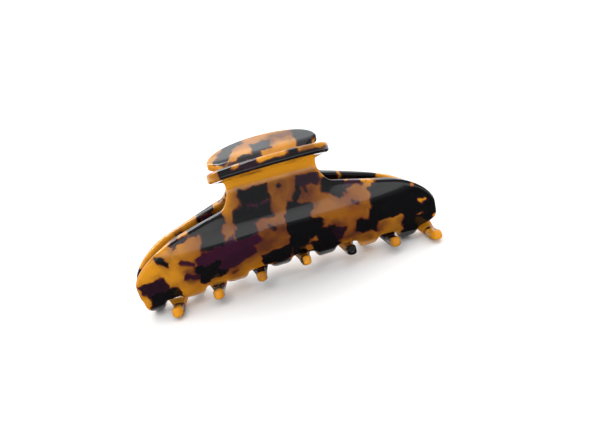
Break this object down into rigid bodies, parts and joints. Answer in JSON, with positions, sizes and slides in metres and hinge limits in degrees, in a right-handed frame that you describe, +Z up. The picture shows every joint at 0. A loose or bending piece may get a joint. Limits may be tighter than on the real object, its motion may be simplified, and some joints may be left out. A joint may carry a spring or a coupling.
{
  "type": "claw hair clip",
  "caption": "Large claw hair clip: domed jaws bent from tortoiseshell acetate sheet, with interlocking curled teeth, oval finger tabs and a sprung pin hinge.",
  "frame": {"origin": "middle of the plane that the clip stands on, touched by the bends of its end teeth, under the hinge pin", "axes": "+X along the clip and its pin, -Y toward the front jaw, +Z up from the teeth to the finger tabs"},
  "size_m": [0.107, 0.0382, 0.0475],
  "materials": {
    "front_acetate": "polished tortoiseshell acetate",
    "back_acetate": "polished tortoiseshell acetate",
    "lug_acetate": "polished dark acetate",
    "pin_steel": "bright nickel-plated steel",
    "spring_steel": "drawn spring wire"
  },
  "bodies": {
    "front": {"front_jaw": "front_acetate", "front_lug_left": "lug_acetate", "front_lug_right": "lug_acetate", "hinge_pin": "pin_steel", "front_spring_half": "spring_steel"},
    "back": {"back_jaw": "back_acetate", "back_lug_left": "lug_acetate", "back_lug_right": "lug_acetate", "back_spring_half": "spring_steel"}
  },
  "joints": [
    {"name": "jaw_hinge", "type": "hinge", "parent": "front", "child": "back", "pos_m": [0, 0, 0.03679], "axis": [1, 0, 0], "range_deg": [0, 60], "stiffness_Nm_per_rad": 0.06, "springref_deg": -20.05}
  ]
}
